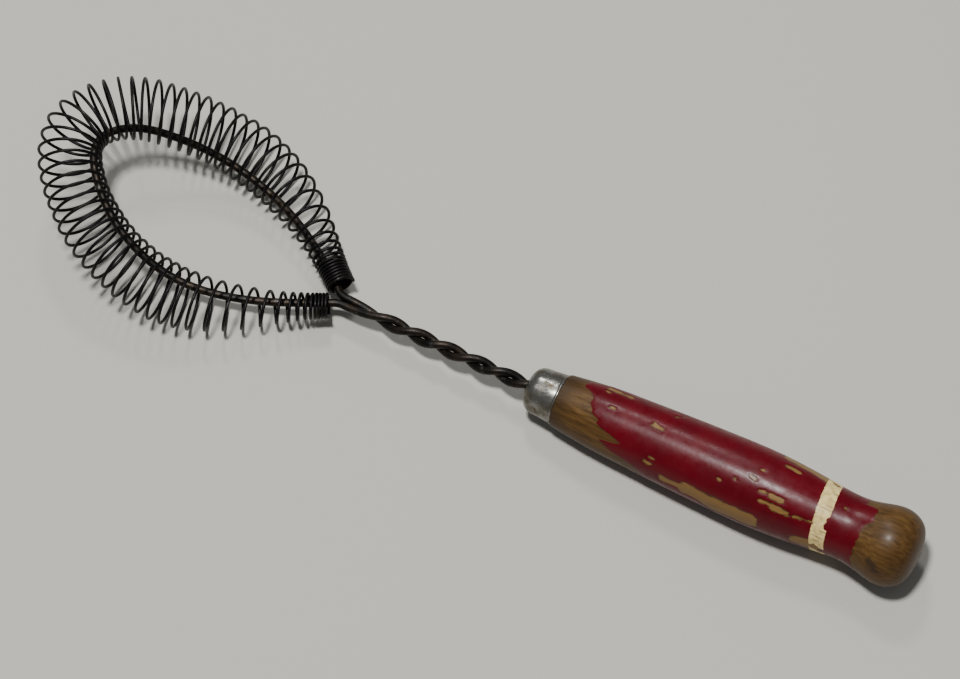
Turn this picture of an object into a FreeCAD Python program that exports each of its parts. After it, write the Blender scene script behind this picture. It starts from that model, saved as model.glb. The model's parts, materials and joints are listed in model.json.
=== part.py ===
import FreeCAD
import Part
import bisect
import math
import os

# A coil whisk: one thick wire is bent to a teardrop loop and its two tails are twisted
# together as the shank, a fine wire coil is threaded on the loop, and the shank is driven
# through a pressed ferrule into a turned wooden handle.
# Millimetres. Built about the handle's axis, with the ferrule's front face at x = 0 and
# the handle towards +X, then laid on the table as it rests: on the knob and the coil.

Vector = FreeCAD.Vector

# ---- Frame wire ----
FRAME_WIRE_R = 1.15
STRAND_GAP = 0.06           # between the two twisted strands
SHANK_LENGTH = 58.0         # from the ferrule's face to the mouth of the loop
TAIL_LENGTH = 38.0          # of each strand inside the ferrule and the handle
TWIST_PITCH = 18.2          # one full turn of the pair
TWIST_RUN_IN = 16.0         # the twist starts loose at the mouth of the loop
SHANK_SAG_Y = 1.0          # the old shank is bent a little at the mouth
SHANK_SAG_Z = -0.3

# ---- Loop, seen from above: distance ahead of the mouth, and to each side ----
LOOP_REACH = 80.1
LOOP_TIP_SIDE = 5.8
LOW_SPREAD = 15.8           # the arm on the -Y side
HIGH_SPREAD = 23.1          # the arm on the +Y side
MOUTH_BEND_AHEAD = 3.0      # where each arm has turned out of the shank
BOWL_BEND_AHEAD = 41.0      # ahead of here the loop is bent up like a spoon
BOWL_BEND_DEG = 25.0
BOWL_BEND_BLEND = 6.0       # softness of that bend

# ---- Coil ----
COIL_WIRE_R = 0.4
COIL_MID_R = 8.8            # to the wire's centre, round the far end of the loop
LOW_END_R = 3.3             # at the mouth, on the low arm
HIGH_END_R = 3.75
COIL_TAPER_LENGTH = 47.0    # along the loop, from each end
LOW_END_SPACE = 0.5         # bare frame wire between the bend at the mouth and the coil
HIGH_END_SPACE = 1.0
CLOSED_PITCH = 0.95         # turns that nearly touch
OPEN_PITCH = 4.8            # the widest spacing, a little way up each arm
MID_PITCH = 3.25            # the pitches are along the coil's own middle, outside the loop
LOW_CLOSED_TURNS = 3
HIGH_CLOSED_TURNS = 7
LOW_OPENING_RUN = 14.0      # over which the spacing opens from closed to widest
HIGH_OPENING_RUN = 17.0
OPEN_RUN = 28.0             # the spacing is widest up to here
SETTLED_RUN = 42.0          # and is the middle spacing from here on
COIL_PLAY = 0.3             # never nearer than this to the frame wire
COIL_OUTWARDS = 0.79        # shares of the room that is left between turn and frame wire:
COIL_LIFT = 0.34            # outwards, upwards, and slid as one towards the far end
COIL_SLIDE = Vector(-0.1, -0.09, 0)
COIL_LEAN = 0.2             # the turns hang upright, and follow only this share of its slope

# ---- Ferrule ----
FERRULE_LENGTH = 10.0
FERRULE_WALL = 0.5
FERRULE_FRONT_R = 6.65
FERRULE_REAR_R = 7.15
FERRULE_NOSE_ROUND = 3.4
FERRULE_RIM_R = 7.4
FERRULE_RIM_LENGTH = 0.9
FERRULE_HOLE_CLEARANCE = 0.15

# ---- Handle: radius at each place along it, from the ferrule's face ----
HANDLE_LENGTH = 116.8
SHOULDER_R = 7.8
NECK_AHEAD = 22.0
NECK_R = 9.2
BELLY_AHEAD = 67.0
BELLY_R = 11.0
WAIST_AHEAD = 97.0
WAIST_R = 9.2
KNOB_AHEAD = 108.3
KNOB_R = 11.25
TENON_CLEARANCE = 0.05
BORE_CLEARANCE = 0.1
BORE_LENGTH = 39.0

STRAND_R = FRAME_WIRE_R + STRAND_GAP / 2
MOUTH_X = -SHANK_LENGTH
STATIONS_PER_TWIST = 8
STATIONS_PER_TURN = 4
LOOP_STATIONS = 36
MIDDLE_STEPS = 240
UP = Vector(0, 0, 1)


def unit(v):
    return v * (1 / v.Length)


def ease(x):
    """0 below 0, 1 above 1, and smooth between."""
    x = min(max(x, 0.0), 1.0)
    return x * x * (3 - 2 * x)


def between(start, end, share):
    return start + (end - start) * share


# ---- Wire bending: every wire's centreline is a chain of tangent arcs ----

def arc(start, direction, end):
    """The one arc that leaves start along direction and reaches end."""
    chord = end - start
    along = unit(chord)
    side = direction - along * direction.dot(along)
    if side.Length < 1e-6:
        return Part.LineSegment(start, end).toShape()
    rise = chord.Length / 2 * math.tan(math.asin(min(side.Length, 1.0)) / 2)
    return Part.Arc(start, start + chord * 0.5 + unit(side) * rise, end).toShape()


def two_arcs(start, start_dir, end, end_dir):
    """Two arcs, tangent to each other and to both given directions."""
    span = end - start
    a = 2 * (1 - start_dir.dot(end_dir))
    b = span.dot(start_dir + end_dir)
    c = span.dot(span)
    reach = c / (b + math.sqrt(b * b + a * c))
    before = start + start_dir * reach
    after = end - end_dir * reach
    return [arc(start, start_dir, (before + after) * 0.5),
            arc((before + after) * 0.5, unit(after - before), end)]


def bent_wire(stations, radius):
    """A round wire along stations, each a point and a direction."""
    edges = []
    for (start, start_dir), (end, end_dir) in zip(stations, stations[1:]):
        edges += two_arcs(start, start_dir, end, end_dir)
    path = Part.Wire(edges)
    first, first_dir = stations[0]
    section = Part.Wire(Part.makeCircle(radius, first, first_dir))
    return path.makePipeShell([section], True, False)


def stations_on(curve, start, end, count):
    """Evenly spaced stations on curve, a function that gives a point for a number."""
    step = (end - start) / count
    nudge = step * 1e-4
    stations = []
    for i in range(count + 1):
        at = start + i * step
        direction = unit(curve(at + nudge) - curve(at - nudge))
        stations.append((curve(at), direction))
    return stations


# ---- Frame wire ----

def twist_angle(behind_mouth):
    """Turn of the twisted pair, in radians, at a distance behind the mouth."""
    rate = 2 * math.pi / TWIST_PITCH
    run_in = min(max(behind_mouth, 0.0), TWIST_RUN_IN)
    steady = max(behind_mouth - TWIST_RUN_IN, 0.0)
    return rate * (run_in * run_in / (2 * TWIST_RUN_IN) + steady)


def strand_point(x, side):
    """Centre of one strand at x; side is +1 for the low arm's strand, -1 for the other."""
    angle = twist_angle(x - MOUTH_X)
    sag = min(x / MOUTH_X, 1.0) ** 2 if x < 0 else 0.0
    y = SHANK_SAG_Y * sag - side * STRAND_R * math.cos(angle)
    z = SHANK_SAG_Z * sag + side * STRAND_R * math.sin(angle)
    return Vector(x, y, z)


def rise(ahead):
    """Height of the loop above its mouth, at a distance ahead of the mouth."""
    past = ahead - BOWL_BEND_AHEAD
    bend = math.tan(math.radians(BOWL_BEND_DEG)) / 2
    from_mouth = math.hypot(past, BOWL_BEND_BLEND) - math.hypot(BOWL_BEND_AHEAD, BOWL_BEND_BLEND)
    return bend * (from_mouth + ahead)


def loop_point(ahead, side):
    return Vector(MOUTH_X - ahead, SHANK_SAG_Y + side, SHANK_SAG_Z + rise(ahead))


def loop_curve():
    """The loop as one smooth edge, from the bend of the low arm to that of the high arm."""
    low, high, reach = -LOW_SPREAD, HIGH_SPREAD, LOOP_REACH
    points = [loop_point(MOUTH_BEND_AHEAD, 0.125 * low),
              loop_point(0.166 * reach, 0.45 * low),
              loop_point(0.296 * reach, 0.72 * low),
              loop_point(0.57 * reach, low),
              loop_point(0.745 * reach, 0.886 * low),
              loop_point(0.926 * reach, 0.31 * low),
              loop_point(reach, LOOP_TIP_SIDE),
              loop_point(0.923 * reach, 0.684 * high),
              loop_point(0.833 * reach, 0.844 * high),
              loop_point(0.607 * reach, high),
              loop_point(0.426 * reach, 0.9 * high),
              loop_point(0.215 * reach, 0.55 * high),
              loop_point(MOUTH_BEND_AHEAD, 0.095 * high)]
    curve = Part.BSplineCurve()
    curve.interpolate(Points=points)
    return curve.toShape()


def frame_wire(loop):
    length = loop.Length
    twist_stations = math.ceil((SHANK_LENGTH + TAIL_LENGTH) / TWIST_PITCH * STATIONS_PER_TWIST)
    down = stations_on(lambda x: strand_point(-x, 1), -TAIL_LENGTH, SHANK_LENGTH, twist_stations)
    back = stations_on(lambda x: strand_point(x, -1), MOUTH_X, TAIL_LENGTH, twist_stations)
    round_loop = []
    for i in range(LOOP_STATIONS + 1):
        at = loop.getParameterByLength(length * (i / LOOP_STATIONS))
        round_loop.append((loop.valueAt(at), loop.tangentAt(at)))
    return bent_wire(down + round_loop + back, FRAME_WIRE_R)


# ---- Coil ----

def coil_radius(from_low, from_high):
    if from_low < from_high:
        return between(LOW_END_R, COIL_MID_R, ease(from_low / COIL_TAPER_LENGTH))
    return between(HIGH_END_R, COIL_MID_R, ease(from_high / COIL_TAPER_LENGTH))


def coil_room(radius):
    """Free room between a turn and the frame wire inside it."""
    return radius - COIL_WIRE_R - FRAME_WIRE_R - COIL_PLAY


def coil_pitch(from_end, closed_turns, opening_run):
    closed = closed_turns * CLOSED_PITCH
    if from_end < closed:
        return CLOSED_PITCH
    if from_end < OPEN_RUN:
        return between(CLOSED_PITCH, OPEN_PITCH, min((from_end - closed) / opening_run, 1.0))
    return between(OPEN_PITCH, MID_PITCH, ease((from_end - OPEN_RUN) / (SETTLED_RUN - OPEN_RUN)))


def coil_frame(loop, at):
    """At a distance along the loop: its point, a turn's outwards and over, and its offset.

    The frame wire lies low in the turns, near their inner side.
    """
    parameter = loop.getParameterByLength(at)
    tangent = loop.tangentAt(parameter)
    outwards = unit(UP.cross(tangent))
    along = unit(Vector(tangent.x, tangent.y, tangent.z * COIL_LEAN))
    over = along.cross(outwards)
    offset = outwards * COIL_OUTWARDS + over * COIL_LIFT + COIL_SLIDE
    return loop.valueAt(parameter), outwards, over, offset


def middle_run(loop, steps):
    """Distances along the loop, and the coil's own middle line's length up to each."""
    start, end = LOW_END_SPACE, loop.Length - HIGH_END_SPACE
    places = [between(start, end, i / steps) for i in range(steps + 1)]
    runs = [0.0]
    last = None
    for at in places:
        point, outwards, over, offset = coil_frame(loop, at)
        middle = point + offset * coil_room(coil_radius(at - start, end - at))
        if last:
            runs.append(runs[-1] + middle.distanceToPoint(last))
        last = middle
    return places, runs


def interpolated(x, xs, ys):
    """The value at x of the line through the points xs, ys."""
    i = min(max(bisect.bisect_right(xs, x), 1), len(xs) - 1)
    return between(ys[i - 1], ys[i], (x - xs[i - 1]) / (xs[i] - xs[i - 1]))


def turn_stations(length):
    """Places along the coil's middle, STATIONS_PER_TURN to each turn, spaced as wound."""
    places = [0.0]
    while places[-1] < length:
        at = places[-1]
        low = coil_pitch(at, LOW_CLOSED_TURNS, LOW_OPENING_RUN)
        high = coil_pitch(length - at, HIGH_CLOSED_TURNS, HIGH_OPENING_RUN)
        places.append(at + (low if at < length / 2 else high) / STATIONS_PER_TURN)
    return [at * length / places[-1] for at in places]


def coil_curve(loop):
    """The coil's centreline, and its last station: a left-hand helix round the loop."""
    places, runs = middle_run(loop, MIDDLE_STEPS)
    stations = turn_stations(runs[-1])
    last = len(stations) - 1

    def curve(station):
        station = min(max(station, 0.0), float(last))
        at = interpolated(interpolated(station, range(last + 1), stations), runs, places)
        point, outwards, over, offset = coil_frame(loop, at)
        turn = 2 * math.pi * station / STATIONS_PER_TURN
        radius = coil_radius(at - places[0], places[-1] - at)
        centre = point + offset * coil_room(radius)
        return centre + outwards * (radius * math.cos(turn)) - over * (radius * math.sin(turn))

    return curve, last


def coil_spring(loop):
    curve, last = coil_curve(loop)
    return bent_wire(stations_on(curve, 0, last, last), COIL_WIRE_R)


# ---- Ferrule and handle ----

def turned(edges):
    """A solid of revolution about the handle's axis."""
    face = Part.Face(Part.Wire(edges))
    return face.revolve(Vector(), Vector(1, 0, 0), 360)


def flat(x, r):
    return Vector(x, 0, r)


def line(*points):
    return [Part.LineSegment(a, b).toShape() for a, b in zip(points, points[1:])]


def shank_hole_r(clearance):
    return STRAND_R + FRAME_WIRE_R + clearance


def ferrule():
    rim_start = FERRULE_LENGTH - FERRULE_RIM_LENGTH
    hole = shank_hole_r(FERRULE_HOLE_CLEARANCE)
    nose = FERRULE_NOSE_ROUND
    bend = nose * math.sqrt(0.5)
    inner_nose = nose - FERRULE_WALL
    inner_bend = inner_nose * math.sqrt(0.5)
    centre_r = FERRULE_FRONT_R - nose
    wall = FERRULE_WALL
    rim_middle = FERRULE_LENGTH - FERRULE_RIM_LENGTH / 2
    edges = line(flat(0, hole), flat(0, centre_r))
    edges.append(Part.Arc(flat(0, centre_r), flat(nose - bend, centre_r + bend),
                          flat(nose, FERRULE_FRONT_R)).toShape())
    edges += line(flat(nose, FERRULE_FRONT_R), flat(rim_start, FERRULE_REAR_R))
    edges.append(Part.Arc(flat(rim_start, FERRULE_REAR_R), flat(rim_middle, FERRULE_RIM_R),
                          flat(FERRULE_LENGTH, FERRULE_REAR_R)).toShape())
    edges += line(flat(FERRULE_LENGTH, FERRULE_REAR_R), flat(FERRULE_LENGTH, FERRULE_REAR_R - wall),
                  flat(nose, FERRULE_FRONT_R - wall))
    edges.append(Part.Arc(flat(nose, FERRULE_FRONT_R - wall),
                          flat(nose - inner_bend, centre_r + inner_bend),
                          flat(wall, centre_r)).toShape())
    edges += line(flat(wall, centre_r), flat(wall, hole), flat(0, hole))
    return turned(edges)


def handle():
    """Turned wood: a tenon in the ferrule, a shoulder, a belly, a waist and a knob."""
    bore = shank_hole_r(BORE_CLEARANCE)
    tenon_front = FERRULE_NOSE_ROUND
    tenon_r = FERRULE_FRONT_R - FERRULE_WALL - TENON_CLEARANCE
    body = Part.BSplineCurve()
    body.interpolate(Points=[flat(FERRULE_LENGTH, SHOULDER_R),
                             flat(NECK_AHEAD, NECK_R),
                             flat(between(NECK_AHEAD, BELLY_AHEAD, 0.5),
                                  between(NECK_R, BELLY_R, 0.64)),
                             flat(BELLY_AHEAD, BELLY_R),
                             flat(between(BELLY_AHEAD, WAIST_AHEAD, 0.58),
                                  between(BELLY_R, WAIST_R, 0.56)),
                             flat(WAIST_AHEAD, WAIST_R)],
                     InitialTangent=Vector(1, 0, 0.22), FinalTangent=Vector(1, 0, 0))
    knob = Part.BSplineCurve()
    knob_span = KNOB_AHEAD - WAIST_AHEAD
    end_span = HANDLE_LENGTH - KNOB_AHEAD
    knob.interpolate(Points=[flat(WAIST_AHEAD, WAIST_R),
                             flat(WAIST_AHEAD + 0.5 * knob_span, between(WAIST_R, KNOB_R, 0.55)),
                             flat(KNOB_AHEAD, KNOB_R),
                             flat(KNOB_AHEAD + 0.68 * end_span, 0.82 * KNOB_R),
                             flat(HANDLE_LENGTH, 0)],
                     InitialTangent=Vector(1, 0, 0), FinalTangent=Vector(0, 0, -1))
    edges = line(flat(BORE_LENGTH, 0), flat(BORE_LENGTH, bore), flat(tenon_front, bore),
                 flat(tenon_front, tenon_r),
                 flat(FERRULE_LENGTH, tenon_r), flat(FERRULE_LENGTH, SHOULDER_R))
    edges.append(body.toShape())
    edges.append(knob.toShape())
    edges += line(flat(HANDLE_LENGTH, 0), flat(BORE_LENGTH, 0))
    return turned(edges)


# ---- Laying the whisk on the table ----

def coil_underside(loop):
    """Points below the coil's centreline by the wire's radius, all along it."""
    curve, last = coil_curve(loop)
    return [curve(i / 5) - UP * COIL_WIRE_R for i in range(5 * last)]


def lowest(points, pitch_deg):
    """Height of the lowest point once the whisk is pitched about Y."""
    pitch = math.radians(pitch_deg)
    return min(p.z * math.cos(pitch) - p.x * math.sin(pitch) for p in points)


def rest_pitch(handle_points, coil_points):
    """The pitch at which the knob and the coil are equally low; + lowers the knob."""
    low, high = -8.0, 8.0
    for _ in range(30):
        middle = (low + high) / 2
        if lowest(handle_points, middle) > lowest(coil_points, middle):
            low = middle
        else:
            high = middle
    return (low + high) / 2


def main():
    os.makedirs("parts", exist_ok=True)
    loop = loop_curve()
    pieces = {"frame_wire": frame_wire(loop),
              "coil_spring": coil_spring(loop),
              "ferrule": ferrule(),
              "handle": handle()}
    rest = rest_pitch(pieces["handle"].tessellate(0.02)[0], coil_underside(loop))
    pitch = FreeCAD.Placement(Vector(), FreeCAD.Rotation(Vector(0, 1, 0), rest))
    for piece in pieces.values():
        piece.transformShape(pitch.toMatrix())
    box = Part.makeCompound(list(pieces.values())).optimalBoundingBox(False, False)
    origin = Vector(box.Center.x, box.Center.y, box.ZMin)
    for name, piece in pieces.items():
        piece.translate(origin * -1)
        piece.exportStep("parts/" + name + ".step")
    mouth = pitch.multVec(Vector(MOUTH_X, SHANK_SAG_Y, SHANK_SAG_Z)) - origin
    print("mouth of the loop at", mouth)
    print("size", box.XLength, box.YLength, box.ZLength)


main()
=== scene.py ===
import json
import math

import bpy
import numpy as np
from mathutils import Matrix, Vector, noise


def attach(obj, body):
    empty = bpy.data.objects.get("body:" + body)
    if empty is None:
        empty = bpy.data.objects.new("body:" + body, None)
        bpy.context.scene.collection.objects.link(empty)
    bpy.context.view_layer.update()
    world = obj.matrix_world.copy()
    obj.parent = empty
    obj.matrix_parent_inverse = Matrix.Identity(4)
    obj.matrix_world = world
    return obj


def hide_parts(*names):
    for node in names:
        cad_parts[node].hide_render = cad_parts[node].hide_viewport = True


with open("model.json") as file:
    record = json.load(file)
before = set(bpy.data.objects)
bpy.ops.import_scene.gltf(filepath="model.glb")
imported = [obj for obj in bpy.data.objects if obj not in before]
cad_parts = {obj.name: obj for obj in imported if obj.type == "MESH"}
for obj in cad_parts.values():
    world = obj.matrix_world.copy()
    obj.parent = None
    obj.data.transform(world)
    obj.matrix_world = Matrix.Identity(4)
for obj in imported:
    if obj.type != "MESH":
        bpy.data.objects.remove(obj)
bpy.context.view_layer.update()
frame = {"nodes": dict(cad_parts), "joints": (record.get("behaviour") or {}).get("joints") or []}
bpy.ops.object.select_all(action="DESELECT")

MM = 0.001

# ---- Frame wire ----
# One length of drawn steel wire, bent to a teardrop loop, its two tails twisted together as
# the shank and driven into the handle. The steel has gone black-brown with age and heat, and
# is rubbed to a paler grey where hands, the coil and bowls touch it.


def new_finish(name):
    """A material with a bare Principled shader, and its node tree."""
    material = bpy.data.materials.new(name)
    material.use_nodes = True
    return material, material.node_tree, material.node_tree.nodes["Principled BSDF"]


def speckle(tree, size_mm, stretch=(1, 1, 1), detail=4.0, roughness=0.55):
    """Noise in the piece's own coordinates, its features about size_mm across."""
    place = tree.nodes.new("ShaderNodeTexCoord")
    scale = tree.nodes.new("ShaderNodeMapping")
    scale.inputs["Scale"].default_value = [1 / (size_mm * MM * s) for s in stretch]
    cloud = tree.nodes.new("ShaderNodeTexNoise")
    cloud.inputs["Scale"].default_value = 1.0
    cloud.inputs["Detail"].default_value = detail
    cloud.inputs["Roughness"].default_value = roughness
    tree.links.new(place.outputs["Object"], scale.inputs["Vector"])
    tree.links.new(scale.outputs["Vector"], cloud.inputs["Vector"])
    return cloud.outputs["Fac"]


def stepped(tree, value, low, high, low_to=0.0, high_to=1.0):
    """Takes value from low..high to low_to..high_to, clamped."""
    step = tree.nodes.new("ShaderNodeMapRange")
    step.inputs["From Min"].default_value = low
    step.inputs["From Max"].default_value = high
    step.inputs["To Min"].default_value = low_to
    step.inputs["To Max"].default_value = high_to
    tree.links.new(value, step.inputs["Value"])
    return step.outputs["Result"]


def blended(tree, share, colour_a, colour_b):
    """colour_a where share is 0 and colour_b where it is 1; each a colour or a socket."""
    mix = tree.nodes.new("ShaderNodeMix")
    mix.data_type = "RGBA"
    tree.links.new(share, mix.inputs["Factor"])
    for socket, colour in ((mix.inputs["A"], colour_a), (mix.inputs["B"], colour_b)):
        if isinstance(colour, tuple):
            socket.default_value = (*colour, 1.0)
        else:
            tree.links.new(colour, socket)
    return mix.outputs["Result"]


def combined(tree, operation, a, b):
    """One Math node; a and b are each a number or a socket."""
    maths = tree.nodes.new("ShaderNodeMath")
    maths.operation = operation
    for socket, value in zip(maths.inputs, (a, b)):
        if isinstance(value, (int, float)):
            socket.default_value = value
        else:
            tree.links.new(value, socket)
    return maths.outputs["Value"]


def raised(tree, shader, height, depth_mm, strength=1.0, under=None):
    """Relief of depth_mm from height on shader's normal, laid over any relief under it."""
    bump = tree.nodes.new("ShaderNodeBump")
    bump.inputs["Distance"].default_value = depth_mm * MM
    bump.inputs["Strength"].default_value = strength
    tree.links.new(height, bump.inputs["Height"])
    if under:
        tree.links.new(under, bump.inputs["Normal"])
    tree.links.new(bump.outputs["Normal"], shader.inputs["Normal"])
    return bump.outputs["Normal"]


def aged_steel(name, dark, rust, rubbed, rub_from):
    """Blackened steel wire: dark oxide, brown rust bloom and paler rubbed places."""
    material, tree, shader = new_finish(name)
    bloom = stepped(tree, speckle(tree, 5.0), 0.42, 0.62)
    grain = speckle(tree, 0.5, detail=6.0)
    rub = stepped(tree, speckle(tree, 2.2, detail=5.0), rub_from, rub_from + 0.14)
    colour = blended(tree, bloom, dark, rust)
    tree.links.new(blended(tree, rub, colour, rubbed), shader.inputs["Base Color"])
    shader.inputs["Metallic"].default_value = 0.75
    rough = combined(tree, "ADD", stepped(tree, grain, 0.3, 0.7, 0.34, 0.56),
                     combined(tree, "MULTIPLY", rub, -0.12))
    tree.links.new(rough, shader.inputs["Roughness"])
    pits = raised(tree, shader, grain, 0.05, 0.7)
    raised(tree, shader, speckle(tree, 1.6), 0.12, 0.5, under=pits)
    return material


frame_steel = aged_steel("frame_wire_aged_steel", dark=(0.006, 0.005, 0.0042),
                         rust=(0.02, 0.0135, 0.0085), rubbed=(0.1, 0.095, 0.088), rub_from=0.62)
frame["nodes"]["frame_wire"].data.materials[0] = frame_steel

# ---- Coil ----
# One length of fine hard-drawn spring wire, wound left-handed to a tapering coil, nearly closed
# at both ends, and threaded on the loop before the shank was twisted. Its turns stand on the
# table round the frame wire, which lies loose near their inner side.

# The loop that it is threaded on: distance ahead of its mouth, and to the side, as shares.
LOOP_REACH = 80.1 * MM
LOOP_TIP_SIDE = 5.8 * MM
LOW_SPREAD = -15.8 * MM
HIGH_SPREAD = 23.1 * MM
MOUTH_BEND_AHEAD = 3.0 * MM
BOWL_BEND_AHEAD = 41.0 * MM
BOWL_BEND_SLOPE = math.tan(math.radians(25.0))
BOWL_BEND_BLEND = 6.0 * MM
REST_PITCH = math.radians(-1.808)
LOOP_MOUTH = Vector(frame["joints"][0]["pos_m"])

# 0.1 mm thicker across than the CAD's coil wire.
COIL_WIRE_R = 0.45 * MM
COIL_WIRE_ROUND = 10
FRAME_WIRE_R = 1.15 * MM
COIL_MID_R = 8.8 * MM
LOW_END_R = 3.3 * MM
HIGH_END_R = 3.75 * MM
COIL_TAPER_LENGTH = 47.0 * MM
LOW_END_SPACE = 0.5 * MM
HIGH_END_SPACE = 1.0 * MM
CLOSED_PITCH = 0.95 * MM
OPEN_PITCH = 4.8 * MM
MID_PITCH = 3.25 * MM
LOW_CLOSED_TURNS = 3
HIGH_CLOSED_TURNS = 7
LOW_OPENING_RUN = 14.0 * MM
HIGH_OPENING_RUN = 17.0 * MM
OPEN_RUN = 28.0 * MM
SETTLED_RUN = 42.0 * MM
COIL_PLAY = 0.3 * MM
COIL_OUTWARDS = 0.79
COIL_LIFT = 0.34
COIL_SLIDE = Vector((-0.1, -0.09, 0))
COIL_LEAN = 0.2
STEPS_PER_TURN = 56
TURN_UNEVENNESS = 0.012
WANDER_RATE = 0.83
WANDER_GAIN = 1.6
LARGEST_WANDER = 1.8
MIDDLE_STEPS = 240
SPACING_UNEVENNESS = 0.07


def rise(ahead):
    """Height of the loop above its mouth, at a distance ahead of the mouth."""
    past = ahead - BOWL_BEND_AHEAD
    run = math.hypot(past, BOWL_BEND_BLEND) - math.hypot(BOWL_BEND_AHEAD, BOWL_BEND_BLEND)
    return BOWL_BEND_SLOPE / 2 * (run + ahead)


def loop_point(ahead, side):
    return Vector((-ahead, side, rise(ahead)))


def smooth_through(points, steps):
    """Points along cubic spans through points, whose bends agree where the spans meet."""
    places = np.array([tuple(p) for p in points])
    spans = np.linalg.norm(np.diff(places, axis=0), axis=1)
    count = len(places)
    pull = np.zeros((count, count))
    target = np.zeros((count, 3))
    for i, span in enumerate(spans):
        rate = (places[i + 1] - places[i]) / span ** 2
        for here, there in ((i, i + 1), (i + 1, i)):
            pull[here, here] += 2 / span
            pull[here, there] += 1 / span
            target[here] += 3 * rate
    slopes = np.linalg.solve(pull, target)
    line = []
    for i, span in enumerate(spans):
        for t in np.linspace(0, 1, steps, endpoint=i == count - 2):
            line.append((1 + 2 * t) * (1 - t) ** 2 * places[i] + t * t * (3 - 2 * t) * places[i + 1]
                        + span * (t * (1 - t) ** 2 * slopes[i] + t * t * (t - 1) * slopes[i + 1]))
    return np.array(line)


loop_line = smooth_through([loop_point(MOUTH_BEND_AHEAD, 0.125 * LOW_SPREAD),
                            loop_point(0.166 * LOOP_REACH, 0.45 * LOW_SPREAD),
                            loop_point(0.296 * LOOP_REACH, 0.72 * LOW_SPREAD),
                            loop_point(0.57 * LOOP_REACH, LOW_SPREAD),
                            loop_point(0.745 * LOOP_REACH, 0.886 * LOW_SPREAD),
                            loop_point(0.926 * LOOP_REACH, 0.31 * LOW_SPREAD),
                            loop_point(LOOP_REACH, LOOP_TIP_SIDE),
                            loop_point(0.923 * LOOP_REACH, 0.684 * HIGH_SPREAD),
                            loop_point(0.833 * LOOP_REACH, 0.844 * HIGH_SPREAD),
                            loop_point(0.607 * LOOP_REACH, HIGH_SPREAD),
                            loop_point(0.426 * LOOP_REACH, 0.9 * HIGH_SPREAD),
                            loop_point(0.215 * LOOP_REACH, 0.55 * HIGH_SPREAD),
                            loop_point(MOUTH_BEND_AHEAD, 0.095 * HIGH_SPREAD)], steps=60)
loop_runs = np.concatenate([[0], np.cumsum(np.linalg.norm(np.diff(loop_line, axis=0), axis=1))])
coil_start = LOW_END_SPACE
coil_end = loop_runs[-1] - HIGH_END_SPACE


def on_loop(distance):
    """The point at a distance along the loop."""
    return Vector([np.interp(distance, loop_runs, loop_line[:, axis]) for axis in range(3)])


def ease(x):
    x = min(max(x, 0.0), 1.0)
    return x * x * (3 - 2 * x)


def between(start, end, share):
    return start + (end - start) * share


def spacing(from_end, closed_turns, opening_run):
    closed = closed_turns * CLOSED_PITCH
    if from_end < closed:
        return CLOSED_PITCH
    if from_end < OPEN_RUN:
        return between(CLOSED_PITCH, OPEN_PITCH, min((from_end - closed) / opening_run, 1.0))
    return between(OPEN_PITCH, MID_PITCH, ease((from_end - OPEN_RUN) / (SETTLED_RUN - OPEN_RUN)))


def unevenness(turn, layer):
    """A slow, repeatable wander from -1 to 1 along the coil."""
    return noise.noise(Vector((turn * WANDER_RATE, layer, 0.5))) * WANDER_GAIN


def turn_at(at):
    """A turn's middle, outwards and upward directions and radius, at a distance along the loop."""
    along = (on_loop(at + 0.1 * MM) - on_loop(at - 0.1 * MM)).normalized()
    outwards = Vector((0, 0, 1)).cross(along).normalized()
    over = Vector((along.x, along.y, along.z * COIL_LEAN)).normalized().cross(outwards)
    if at - coil_start < coil_end - at:
        radius = between(LOW_END_R, COIL_MID_R, ease((at - coil_start) / COIL_TAPER_LENGTH))
    else:
        radius = between(HIGH_END_R, COIL_MID_R, ease((coil_end - at) / COIL_TAPER_LENGTH))
    room = radius - COIL_WIRE_R - FRAME_WIRE_R - COIL_PLAY
    offset = outwards * COIL_OUTWARDS + over * COIL_LIFT + COIL_SLIDE
    return on_loop(at) + offset * room, outwards, over, radius


middle_places = np.linspace(coil_start, coil_end, MIDDLE_STEPS + 1)
middle_line = np.array([tuple(turn_at(at)[0]) for at in middle_places])
middle_runs = np.concatenate([[0], np.cumsum(np.linalg.norm(np.diff(middle_line, axis=0), axis=1))])
coil_length = middle_runs[-1]
turn_places = [0.0]
while turn_places[-1] < coil_length:
    at = turn_places[-1]
    pitch = spacing(at, LOW_CLOSED_TURNS, LOW_OPENING_RUN)
    if at > coil_length / 2:
        pitch = spacing(coil_length - at, HIGH_CLOSED_TURNS, HIGH_OPENING_RUN)
    looseness = SPACING_UNEVENNESS * ease((pitch - CLOSED_PITCH) / CLOSED_PITCH)
    turn_places.append(at + pitch * (1 + looseness * unevenness(len(turn_places), 7.0)))
turn_places = np.array(turn_places) * coil_length / turn_places[-1]
coil_turns = len(turn_places) - 1

as_laid = Matrix.Translation(LOOP_MOUTH) @ Matrix.Rotation(REST_PITCH, 4, "Y")
coil_line = []
for step in range(coil_turns * STEPS_PER_TURN + 1):
    turn = step / STEPS_PER_TURN
    along_middle = np.interp(turn, range(coil_turns + 1), turn_places)
    centre, outwards, over, radius = turn_at(np.interp(along_middle, middle_runs, middle_places))
    radius *= 1 - TURN_UNEVENNESS * (LARGEST_WANDER + unevenness(turn, 2.0))
    angle = turn * math.tau
    centre += outwards * (radius * math.cos(angle)) - over * (radius * math.sin(angle))
    coil_line.append(as_laid @ centre)


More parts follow.
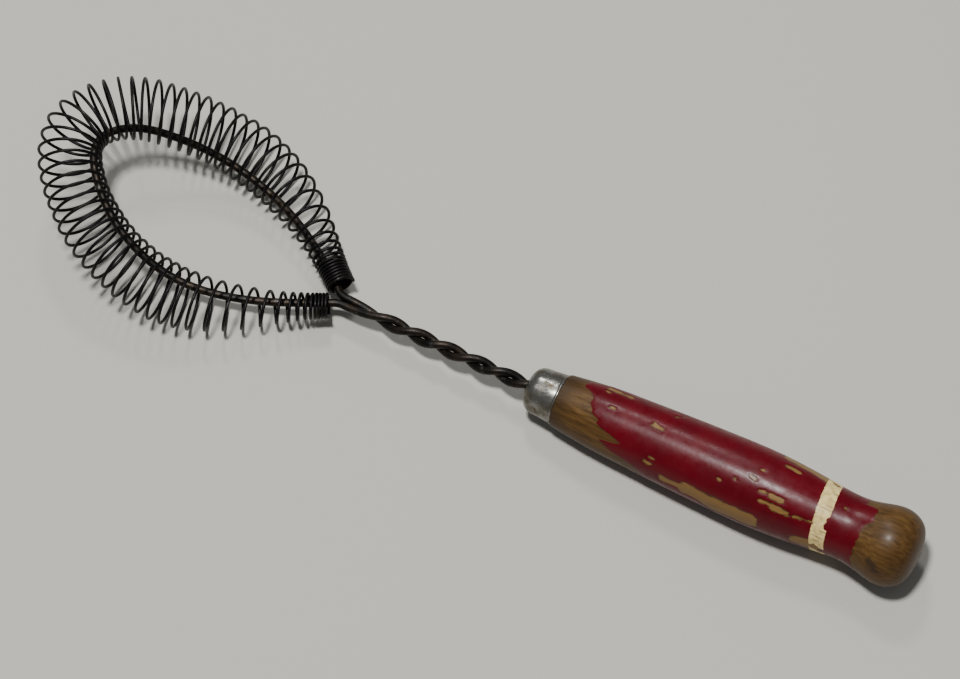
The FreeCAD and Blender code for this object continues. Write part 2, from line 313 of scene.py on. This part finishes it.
def wire_along(name, line, radius, sides):
    """A round wire whose middle follows line, made as a bevelled curve and then a mesh."""
    curve = bpy.data.curves.new(name, "CURVE")
    curve.dimensions = "3D"
    curve.twist_mode = "MINIMUM"
    curve.bevel_depth = radius
    curve.bevel_resolution = sides // 2 - 2
    curve.use_fill_caps = True
    spline = curve.splines.new("POLY")
    spline.points.add(len(line) - 1)
    for point, place in zip(spline.points, line):
        point.co = (*place, 1.0)
    wire = bpy.data.objects.new(name, curve)
    bpy.context.collection.objects.link(wire)
    bpy.ops.object.select_all(action="DESELECT")
    wire.select_set(True)
    bpy.context.view_layer.objects.active = wire
    bpy.ops.object.convert(target="MESH")
    bpy.ops.object.shade_smooth_by_angle(angle=math.radians(50))
    wire.select_set(False)
    return wire


coil = wire_along("coil_of_fine_wire", coil_line, COIL_WIRE_R, COIL_WIRE_ROUND)
coil.data.materials.append(aged_steel("coil_black_spring_steel", dark=(0.004, 0.0034, 0.004),
                                      rust=(0.009, 0.006, 0.006), rubbed=(0.05, 0.047, 0.048),
                                      rub_from=0.64))
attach(coil, "coil")
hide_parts("coil_spring")

# ---- Ferrule ----
# A cap pressed from thin plated steel, pushed over the handle's tenon. Its nose is rounded over
# to a hole for the shank and its rear edge is rolled to a thin bead. The plating is tarnished,
# pitted and blotched brown.

MOUTH_ON_HANDLE_AXIS = Vector((-58.0, 1.0, -0.3)) * MM
handle_place = (Matrix.Translation(LOOP_MOUTH) @ Matrix.Rotation(REST_PITCH, 4, "Y")
                @ Matrix.Translation(-MOUTH_ON_HANDLE_AXIS))


def turned_on_lathe(name, outline, steps, place):
    """Spins an outline of (distance along, radius) points round the X axis to a closed skin."""
    mesh = bpy.data.meshes.new(name)
    mesh.from_pydata([(x, 0, r) for x, r in outline], [(i, i + 1) for i in range(len(outline) - 1)], [])
    piece = bpy.data.objects.new(name, mesh)
    bpy.context.collection.objects.link(piece)
    bpy.ops.object.select_all(action="DESELECT")
    piece.select_set(True)
    bpy.context.view_layer.objects.active = piece
    bpy.ops.object.mode_set(mode="EDIT")
    bpy.ops.mesh.select_all(action="SELECT")
    bpy.ops.mesh.spin(steps=steps, angle=math.tau, center=(0, 0, 0), axis=(1, 0, 0))
    bpy.ops.mesh.select_all(action="SELECT")
    bpy.ops.mesh.remove_doubles(threshold=0.005 * MM)
    bpy.ops.mesh.normals_make_consistent(inside=False)
    bpy.ops.object.mode_set(mode="OBJECT")
    mesh.transform(place)
    bpy.ops.object.shade_smooth_by_angle(angle=math.radians(40))
    piece.select_set(False)
    return piece


def round_corner(centre, radius, start_deg, end_deg, steps):
    """Points on an arc of the outline, about centre (distance along, radius)."""
    return [(centre[0] + radius * math.sin(math.radians(a)), centre[1] + radius * math.cos(math.radians(a)))
            for a in np.linspace(start_deg, end_deg, steps)]


NOSE_ROUND = 3.4 * MM
NOSE_R = 6.65 * MM
SKIRT_R = 7.15 * MM
WALL = 0.5 * MM
HOLE_R = 2.5 * MM
BEAD_R = 0.42 * MM
ferrule_outline = [(0.2 * MM, HOLE_R), (0.0, HOLE_R + 0.2 * MM)]
ferrule_outline += round_corner((NOSE_ROUND, NOSE_R - NOSE_ROUND), NOSE_ROUND, -90, 0, 12)
ferrule_outline += [(6.0 * MM, 6.86 * MM), (8.75 * MM, SKIRT_R - 0.03 * MM), (9.1 * MM, SKIRT_R - 0.1 * MM)]
ferrule_outline += round_corner((9.55 * MM, SKIRT_R - 0.18 * MM), BEAD_R, -60, 90, 9)
ferrule_outline += [(9.95 * MM, SKIRT_R - WALL), (NOSE_ROUND, NOSE_R - WALL)]
ferrule_outline += round_corner((NOSE_ROUND, NOSE_R - NOSE_ROUND), NOSE_ROUND - WALL, 0, -90, 8)
ferrule_outline += [(WALL, HOLE_R), (0.2 * MM, HOLE_R)]
ferrule = turned_on_lathe("pressed_ferrule", ferrule_outline, 128, handle_place)

DENT_DEPTH = 0.05 * MM
for vertex in ferrule.data.vertices:
    dent = noise.noise(vertex.co / (3.2 * MM)) + 0.5 * noise.noise(vertex.co / (1.3 * MM))
    middle = handle_place @ Vector(((handle_place.inverted() @ vertex.co).x, 0, 0))
    vertex.co += (vertex.co - middle).normalized() * DENT_DEPTH * (dent - 1.0)

tarnish, tree, shader = new_finish("ferrule_tarnished_plate")
blotch = stepped(tree, speckle(tree, 3.0, detail=6.0), 0.42, 0.6)
rust = stepped(tree, speckle(tree, 1.6, detail=8.0, roughness=0.65), 0.56, 0.68)
pits = stepped(tree, speckle(tree, 0.45, detail=3.0), 0.66, 0.74)
scratches = speckle(tree, 0.25, stretch=(14, 1, 1), detail=3.0)
colour = blended(tree, blotch, (0.20, 0.195, 0.18), (0.115, 0.105, 0.083))
colour = blended(tree, rust, colour, (0.075, 0.05, 0.027))
tree.links.new(blended(tree, pits, colour, (0.03, 0.022, 0.015)), shader.inputs["Base Color"])
shader.inputs["Metallic"].default_value = 0.9
rough = combined(tree, "ADD", stepped(tree, blotch, 0, 1, 0.22, 0.4), combined(tree, "MULTIPLY", rust, 0.2))
tree.links.new(combined(tree, "ADD", rough, stepped(tree, scratches, 0.35, 0.65, -0.05, 0.07)),
               shader.inputs["Roughness"])
relief = raised(tree, shader, combined(tree, "SUBTRACT", 1.0, pits), 0.08, 0.8)
raised(tree, shader, scratches, 0.02, 0.5, under=relief)
ferrule.data.materials.append(tarnish)
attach(ferrule, "body")
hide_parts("ferrule")

# ---- Handle ----
# A hardwood handle turned on a lathe, with a belly, a waist and a knob. It was dipped in crimson
# paint up to the knob, now dull with wear, with a cream stripe painted round it. The paint has
# chipped away at both ends, along two sides and in small flakes, down to the bare oiled wood.

PAINT_THICKNESS = 0.13 * MM
BORE_R = 2.45 * MM
HANDLE_SHAPE = [(10.0, 7.72), (22.0, 9.15), (33.0, 9.76), (44.5, 10.3), (56.0, 10.72),
                (67.0, 10.98), (76.0, 10.75), (84.7, 10.02), (91.5, 9.35), (97.0, 9.2),
                (102.4, 10.15), (108.3, 11.2), (111.8, 10.4), (114.2, 8.6), (115.6, 5.4),
                (116.1, 0.0)]
LATHE_STEPS = 264
TENON_BEFORE = 60
SMALLEST_GRIP_R = 7.2
RINGS_PER_MM = 1.9

shape_line = smooth_through([Vector((x * MM, r * MM, 0)) for x, r in HANDLE_SHAPE], 40)
shape_runs = np.concatenate([[0], np.cumsum(np.linalg.norm(np.diff(shape_line, axis=0), axis=1))])
ring_places = np.linspace(0, shape_runs[-1], int(shape_runs[-1] / MM * RINGS_PER_MM))
outline = [(np.interp(p, shape_runs, shape_line[:, 0]), max(np.interp(p, shape_runs, shape_line[:, 1]), 0))
           for p in ring_places]
tenon = [(39.0 * MM, 0.0), (39.0 * MM, BORE_R), (3.0 * MM, BORE_R), (3.0 * MM, 5.85 * MM),
         (9.99 * MM, 5.85 * MM)]
handle = turned_on_lathe("turned_handle", tenon + outline, LATHE_STEPS, Matrix.Identity(4))

# Where the paint still starts behind the ferrule and ends before the knob: (degrees round from
# the top towards -Y, millimetres from the ferrule's face).
PAINT_FRONT = [(-180, 16), (-150, 22), (-120, 19), (-80, 18), (-58, 22), (-40, 15.6), (-22, 15.6),
               (-9, 19), (13, 19.8), (24, 21.4), (31, 23.9), (37, 23.2), (41, 25.6), (47, 29),
               (52.5, 31.4), (57, 29), (61.5, 25.3), (75, 29), (79, 33), (86, 37), (100, 39),
               (118, 32), (140, 23), (160, 18), (180, 16)]
PAINT_BACK = [(-180, 99), (-140, 101), (-100, 98), (-58, 98.3), (-31, 98.4), (-25, 101.4),
              (-14, 102.4), (2, 102.2), (12, 100.8), (46, 100.3), (80, 100.2), (110, 102),
              (150, 100), (180, 99)]
# Flakes and bare strips: two ends, each (millimetres along, degrees round), and half a width.
FLAKES = [((37, 2.6), (40.4, 4.6), 0.6), ((38, -1.5), (38.6, 1.0), 0.8),
          ((21.6, -28), (22.3, -26.5), 0.6), ((25.2, 1), (26, 1), 0.4),
          ((40.4, 51.5), (41.3, 51.5), 0.5), ((38.8, 60.5), (40.8, 62.5), 0.6),
          ((60, 37), (60.4, 37), 0.4), ((22, -42), (28.4, -37), 0.8),
          ((42, -33), (43.8, -42), 0.4), ((69.9, -2), (70.2, -1), 0.4),
          ((67.6, 13.5), (69.2, 17), 0.55), ((64, 26.5), (64.3, 28.5), 0.4),
          ((71.4, 28.5), (73, 27), 0.45), ((74.9, 27.5), (78.2, 28.5), 0.85),
          ((72.6, 40.5), (76, 42.5), 0.6), ((76, 42.5), (80.5, 43.5), 0.85),
          ((82.5, 43.2), (87.5, 40.8), 0.6), ((74.6, -26), (78.6, -25), 0.7),
          ((74.5, -54), (87, -50), 2.4), ((45, 80), (52, 77), 1.3), ((52, 79), (64, 80), 2.4),
          ((59, 84), (71, 83), 2.9), ((85, 89), (89.4, 88), 2.4), ((93.8, -4), (94.1, -2.5), 0.45),
          ((31, 150), (42, 158), 1.7), ((61, -118), (68, -110), 1.9), ((49, 178), (55, 184), 0.9),
          ((78, 140), (85, 146), 1.2), ((34, -88), (39, -94), 1.0), ((65, 128), (67, 126), 0.7),
          ((91, -110), (95, -116), 1.1), ((72, -150), (81, -156), 1.5),
          ((94, 120), (96, 123), 0.8)]
STAINS = [((105.5, 59), (107.5, 67), 1.0), ((112, 150), (113, 160), 1.4),
          ((103, -95), (104, -90), 0.8)]
STRIPE_MIDDLE = 89.4
STRIPE_SLANT = 0.016
STRIPE_HALF = 2.1
STRIPE_FLAKES = [((91.3, 27), (91.6, 42), 0.75), ((87, 40), (87.4, 42), 0.5),
                 ((87.6, -52), (89, -46), 0.6), ((89.5, 90), (92, 96), 1.2),
                 ((88, 150), (89, 158), 0.9), ((87.5, -120), (89, -110), 1.1)]


def round_from(angle, middle):
    """Degrees from middle to angle, by the shorter way."""
    return (angle - middle + 180) % 360 - 180


def flake_reach(x, angle, radius, flakes):
    """How far outside the nearest flake a point is, in millimetres; negative inside it."""
    nearest = 9.0
    for (x0, a0), (x1, a1), half in flakes:
        here = Vector((x - x0, math.radians(round_from(angle, a0)) * radius))
        if here.length > 30:
            continue
        strip = Vector((x1 - x0, math.radians(a1 - a0) * radius))
        share = min(max(here.dot(strip) / max(strip.dot(strip), 1e-9), 0), 1)
        nearest = min(nearest, (here - strip * share).length - half)
    return nearest


COVERS = ("paint_cover", "stripe_cover", "fresh_wood", "stains_and_darker_front_end")
for cover_name in COVERS:
    handle.data.attributes.new(cover_name, "FLOAT", "POINT")
paint_cover, stripe_cover, fresh_wood, stains_and_darker_front_end = [handle.data.attributes[n] for n in COVERS]
for index, vertex in enumerate(handle.data.vertices):
    x = vertex.co.x / MM
    radius = math.hypot(vertex.co.y, vertex.co.z) / MM
    angle = math.degrees(math.atan2(-vertex.co.y, vertex.co.z))
    place = vertex.co / MM
    ragged = (0.6 * noise.noise(Vector((x / 4, place.y / 1.2, place.z / 1.2)))
              + 0.3 * noise.noise(Vector((x / 1.5, place.y / 0.6, place.z / 0.6))))
    front = x - np.interp(angle, *zip(*PAINT_FRONT))
    back = np.interp(angle, *zip(*PAINT_BACK)) - x
    cover = min(front, back, flake_reach(x, angle, radius, FLAKES)) + ragged
    off_stripe = abs(x - STRIPE_MIDDLE - STRIPE_SLANT * round_from(angle, 25)) - STRIPE_HALF
    stripe = min(-off_stripe + 0.12 * noise.noise(place / 1.5),
                 flake_reach(x, angle, radius, STRIPE_FLAKES) + ragged, cover + 3 * (radius > 0))
    in_tenon = x < TENON_BEFORE and radius < SMALLEST_GRIP_R
    if in_tenon:
        cover = stripe = -5.0
    fresh_wood.data[index].value = -flake_reach(x, angle, radius, FLAKES) - ragged
    blob = ease(0.6 - flake_reach(x, angle, radius, STAINS) - 2 * ragged)
    # Dark blobs at the listed stains, and the wood made darker towards the ferrule end, all round the
    # handle.
    stains_and_darker_front_end.data[index].value = max(blob, 0.75 * ease((17.5 - x) / 7))
    paint_cover.data[index].value = cover
    stripe_cover.data[index].value = stripe
    thickness = ease(cover / 0.3) + 0.5 * ease(stripe / 0.3)
    sink = 1 - 0.67 * thickness
    grain = 0.12 * noise.noise(Vector((x / 9, place.y * 1.1, place.z * 1.1))) * (1 - ease(cover / 0.3))
    if not in_tenon:
        outward = Vector((0, vertex.co.y, vertex.co.z)) / (max(radius, SMALLEST_GRIP_R) * MM)
        vertex.co -= outward * PAINT_THICKNESS * (sink - grain)
handle.data.transform(handle_place)

worn_paint, tree, shader = new_finish("handle_worn_crimson_paint")
paint = tree.nodes.new("ShaderNodeAttribute")
paint.attribute_name = "paint_cover"
cream = tree.nodes.new("ShaderNodeAttribute")
cream.attribute_name = "stripe_cover"
edge_noise = stepped(tree, speckle(tree, 0.5, detail=5.0), 0.3, 0.7, -0.22, 0.22)
painted = stepped(tree, combined(tree, "ADD", paint.outputs["Fac"], edge_noise), -0.03, 0.03)
fine_edge_noise = combined(tree, "MULTIPLY", edge_noise, 0.5)
striped = stepped(tree, combined(tree, "ADD", cream.outputs["Fac"], fine_edge_noise), -0.03, 0.03)

long_grain = speckle(tree, 0.8, stretch=(16, 1, 1), detail=6.0)
broad_stain = stepped(tree, speckle(tree, 7.0, stretch=(2.0, 1, 1), detail=5.0), 0.38, 0.64)
wood = blended(tree, stepped(tree, long_grain, 0.35, 0.68), (0.044, 0.021, 0.005), (0.11, 0.057, 0.015))
wood = blended(tree, combined(tree, "MULTIPLY", broad_stain, 0.55), wood, (0.05, 0.024, 0.008))
fresh = tree.nodes.new("ShaderNodeAttribute")
fresh.attribute_name = "fresh_wood"
fresh_share = combined(tree, "MULTIPLY", stepped(tree, fresh.outputs["Fac"], 0.1, 0.45), 0.7)
wood = blended(tree, fresh_share, wood, (0.22, 0.125, 0.04))
stain_and_darkening = tree.nodes.new("ShaderNodeAttribute")
stain_and_darkening.attribute_name = "stains_and_darker_front_end"
# Darkens the wood at the listed stains and towards the ferrule end.
wood = blended(tree, combined(tree, "MULTIPLY", stain_and_darkening.outputs["Fac"], 0.8), wood, (0.022, 0.013, 0.006))
pores = stepped(tree, speckle(tree, 0.28, stretch=(22, 1, 1), detail=3.0), 0.62, 0.7)
wood = blended(tree, combined(tree, "MULTIPLY", pores, 0.5), wood, (0.035, 0.016, 0.008))

crimson = blended(tree, stepped(tree, speckle(tree, 9.0, detail=3.0), 0.35, 0.65),
                  (0.088, 0.0004, 0.0048), (0.066, 0.0003, 0.0036))
grime = stepped(tree, speckle(tree, 1.2, detail=7.0, roughness=0.7), 0.6, 0.74)
crimson = blended(tree, combined(tree, "MULTIPLY", grime, 0.4), crimson, (0.05, 0.003, 0.004))
ivory = blended(tree, stepped(tree, speckle(tree, 1.4, detail=5.0), 0.4, 0.65),
                (0.68, 0.53, 0.23), (0.46, 0.34, 0.13))
cracks = stepped(tree, speckle(tree, 0.5, stretch=(14, 1, 1), detail=2.0), 0.6, 0.64)
ivory = blended(tree, combined(tree, "MULTIPLY", cracks, 0.65), ivory, (0.16, 0.10, 0.045))
colour = blended(tree, painted, wood, crimson)
tree.links.new(blended(tree, striped, colour, ivory), shader.inputs["Base Color"])
wood_rough = stepped(tree, long_grain, 0.3, 0.7, 0.36, 0.52)
paint_rough = stepped(tree, speckle(tree, 2.5, detail=6.0, roughness=0.65), 0.35, 0.7, 0.26, 0.46)
rough = tree.nodes.new("ShaderNodeMix")
tree.links.new(painted, rough.inputs["Factor"])
tree.links.new(wood_rough, rough.inputs["A"])
tree.links.new(paint_rough, rough.inputs["B"])
tree.links.new(rough.outputs["Result"], shader.inputs["Roughness"])
shader.inputs["Specular IOR Level"].default_value = 0.16
shader.inputs["Coat Weight"].default_value = 0.04
shader.inputs["Coat Roughness"].default_value = 0.22
relief = raised(tree, shader, painted, 0.10, 0.9)
relief = raised(tree, shader, long_grain, 0.06, 0.35, under=relief)
relief = raised(tree, shader, speckle(tree, 1.1, detail=3.0), 0.06, 0.3, under=relief)
handle.data.materials.append(worn_paint)
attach(handle, "body")
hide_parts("handle")

# ---- Floor, light and camera ----
# The whisk lies on a plain pale floor under a small soft light almost overhead, with a weaker
# one behind it and to the left, and a dim, slightly blue room all round.

bpy.ops.mesh.primitive_plane_add(size=6.0, location=(0, 0, 0))
floor = bpy.context.object
floor.name = "floor"
floor_paper, tree, shader = new_finish("floor_pale_grey")
shader.inputs["Base Color"].default_value = (0.42, 0.40, 0.36, 1)
shader.inputs["Roughness"].default_value = 0.8
floor.data.materials.append(floor_paper)

knob = handle_place @ Vector((109.0 * MM, 0, 0))
AIM = Vector((knob.x - 129.8 * MM, knob.y + 10.95 * MM, 0))
EYE_FROM_AIM = Vector((227.8, -440.1, 932.0)) * MM
view_camera = bpy.data.objects.new("view_camera", bpy.data.cameras.new("view_camera"))
bpy.context.collection.objects.link(view_camera)
view_camera.data.sensor_width = 36.0
view_camera.data.lens = 142.5
view_camera.location = AIM + EYE_FROM_AIM
view_camera.rotation_euler = (-EYE_FROM_AIM).to_track_quat("-Z", "Y").to_euler()
bpy.context.scene.camera = view_camera


def soft_light(name, from_aim, size, watts):
    lamp = bpy.data.lights.new(name, "AREA")
    lamp.shape = "DISK"
    lamp.size = size
    lamp.energy = watts
    light = bpy.data.objects.new(name, lamp)
    bpy.context.collection.objects.link(light)
    light.location = AIM + from_aim
    light.rotation_euler = (-from_aim).to_track_quat("-Z", "Y").to_euler()


soft_light("main_light", Vector((-0.11, -0.2, 1.5)), 0.2, 30)
soft_light("second_light", Vector((-0.45, 0.7, 1.2)), 0.25, 6)
world = bpy.data.worlds.new("room")
bpy.context.scene.world = world
world.use_nodes = True
world.node_tree.nodes["Background"].inputs["Color"].default_value = (0.93, 0.96, 1.0, 1)
world.node_tree.nodes["Background"].inputs["Strength"].default_value = 0.22

bpy.context.view_layer.update()
